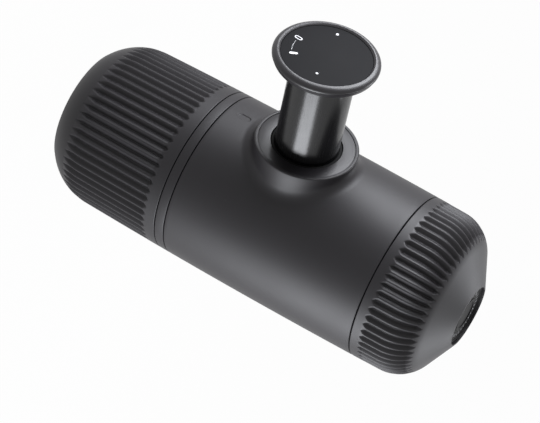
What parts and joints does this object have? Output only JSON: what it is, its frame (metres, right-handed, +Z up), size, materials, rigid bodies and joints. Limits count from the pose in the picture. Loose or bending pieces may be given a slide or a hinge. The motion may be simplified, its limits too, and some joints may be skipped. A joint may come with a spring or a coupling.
{
  "type": "handheld espresso maker",
  "caption": "Hand-pumped espresso maker: round fluted body standing on its drinking cup, screw-on water tank on top and a side plunger with a locking knob.",
  "frame": {"origin": "centre of the cup's flat base, which the part stands on", "axes": "+Z up along the body from cup to tank, the plunger comes out towards -Y"},
  "size_m": [0.062, 0.1052, 0.156],
  "materials": {
    "body_plastic": "satin moulded charcoal plastic",
    "knob_plastic": "satin charcoal plastic",
    "knob_face_plastic": "fine matt dark plastic",
    "sleeve_gloss": "polished black",
    "end_disc_plastic": "dark matt plastic",
    "wiper_rubber": "black rubber",
    "seal_silicone": "grey silicone",
    "frame_plastic": "dark engineering plastic",
    "steel": "stainless steel"
  },
  "bodies": {
    "housing": {"main_housing": "body_plastic", "collar_plate": "body_plastic", "wiper_ring": "wiper_rubber", "guide_bush": "frame_plastic", "pump_body": "frame_plastic", "pump_gland": "frame_plastic", "inlet_seat": "frame_plastic", "inlet_strainer": "steel", "outlet_plug": "frame_plastic", "outlet_spring": "steel", "group_head": "frame_plastic", "shower_screen": "steel", "screen_screw": "steel", "tank_socket": "frame_plastic", "socket_screws": "steel", "return_spring": "steel"},
    "plunger": {"plunger_rod": "steel", "plunger_head": "frame_plastic", "plunger_seal": "seal_silicone", "rod_screw": "steel", "spring_washer": "frame_plastic"},
    "knob_group": {"knob": "knob_plastic", "knob_face": "knob_face_plastic", "piston_sleeve": "sleeve_gloss"},
    "tank_seal_ring": {"tank_seal": "seal_silicone"},
    "tank": {"water_tank": "body_plastic", "tank_end_disc": "end_disc_plastic"},
    "portafilter_seal_ring": {"portafilter_gasket": "seal_silicone"},
    "portafilter": {"portafilter_body": "body_plastic", "cup_grip_ring": "seal_silicone", "filter_basket": "steel", "spout": "frame_plastic", "crema_spring": "steel"},
    "cup": {"drinking_cup": "body_plastic"},
    "crema_poppet": {"crema_valve": "frame_plastic"},
    "inlet_flap": {"inlet_valve": "seal_silicone"},
    "outlet_poppet": {"outlet_valve": "frame_plastic"}
  },
  "joints": [
    {"name": "plunger_press", "type": "slide", "parent": "housing", "child": "plunger", "axis": [0, 1, 0], "range_m": [0, 0.034], "stiffness_N_per_m": 200, "springref_m": -0.03, "deforming": ["return_spring"]},
    {"name": "knob_turn", "type": "hinge", "parent": "plunger", "child": "knob_group", "pos_m": [0, -0.0722, 0.0846], "axis": [0, 1, 0], "range_deg": [0, 45]},
    {"name": "tank_lift", "type": "slide", "parent": "housing", "child": "tank_seal_ring", "axis": [0, 0, 1], "range_m": [0, 0.00605]},
    {"name": "tank_turn", "type": "hinge", "parent": "tank_seal_ring", "child": "tank", "pos_m": [0, 0, 0.12], "axis": [0, 0, 1], "range_deg": [0, 540]},
    {"name": "portafilter_drop", "type": "slide", "parent": "housing", "child": "portafilter_seal_ring", "axis": [0, 0, -1], "range_m": [0, 0.00605]},
    {"name": "portafilter_turn", "type": "hinge", "parent": "portafilter_seal_ring", "child": "portafilter", "pos_m": [0, 0, 0.055], "axis": [0, 0, -1], "range_deg": [0, 540]},
    {"name": "cup_pull", "type": "slide", "parent": "portafilter", "child": "cup", "axis": [0, 0, -1], "range_m": [0, 0.03]},
    {"name": "crema_valve_open", "type": "slide", "parent": "portafilter", "child": "crema_poppet", "axis": [0, 0, -1], "range_m": [0, 0.0015], "stiffness_N_per_m": 10, "springref_m": -0.005, "deforming": ["crema_spring"]},
    {"name": "inlet_valve_open", "type": "slide", "parent": "housing", "child": "inlet_flap", "axis": [0, 0, -1], "range_m": [0, 0.0012], "stiffness_N_per_m": 5, "springref_m": -0.003},
    {"name": "outlet_valve_open", "type": "slide", "parent": "housing", "child": "outlet_poppet", "axis": [0, 0, -1], "range_m": [0, 0.0012], "stiffness_N_per_m": 10, "springref_m": -0.005, "deforming": ["outlet_spring"]}
  ],
  "couplings": [
    {"joint": "tank_lift", "follows": "tank_turn", "m_per_rad": 0.00063662},
    {"joint": "portafilter_drop", "follows": "portafilter_turn", "m_per_rad": 0.00063662}
  ]
}
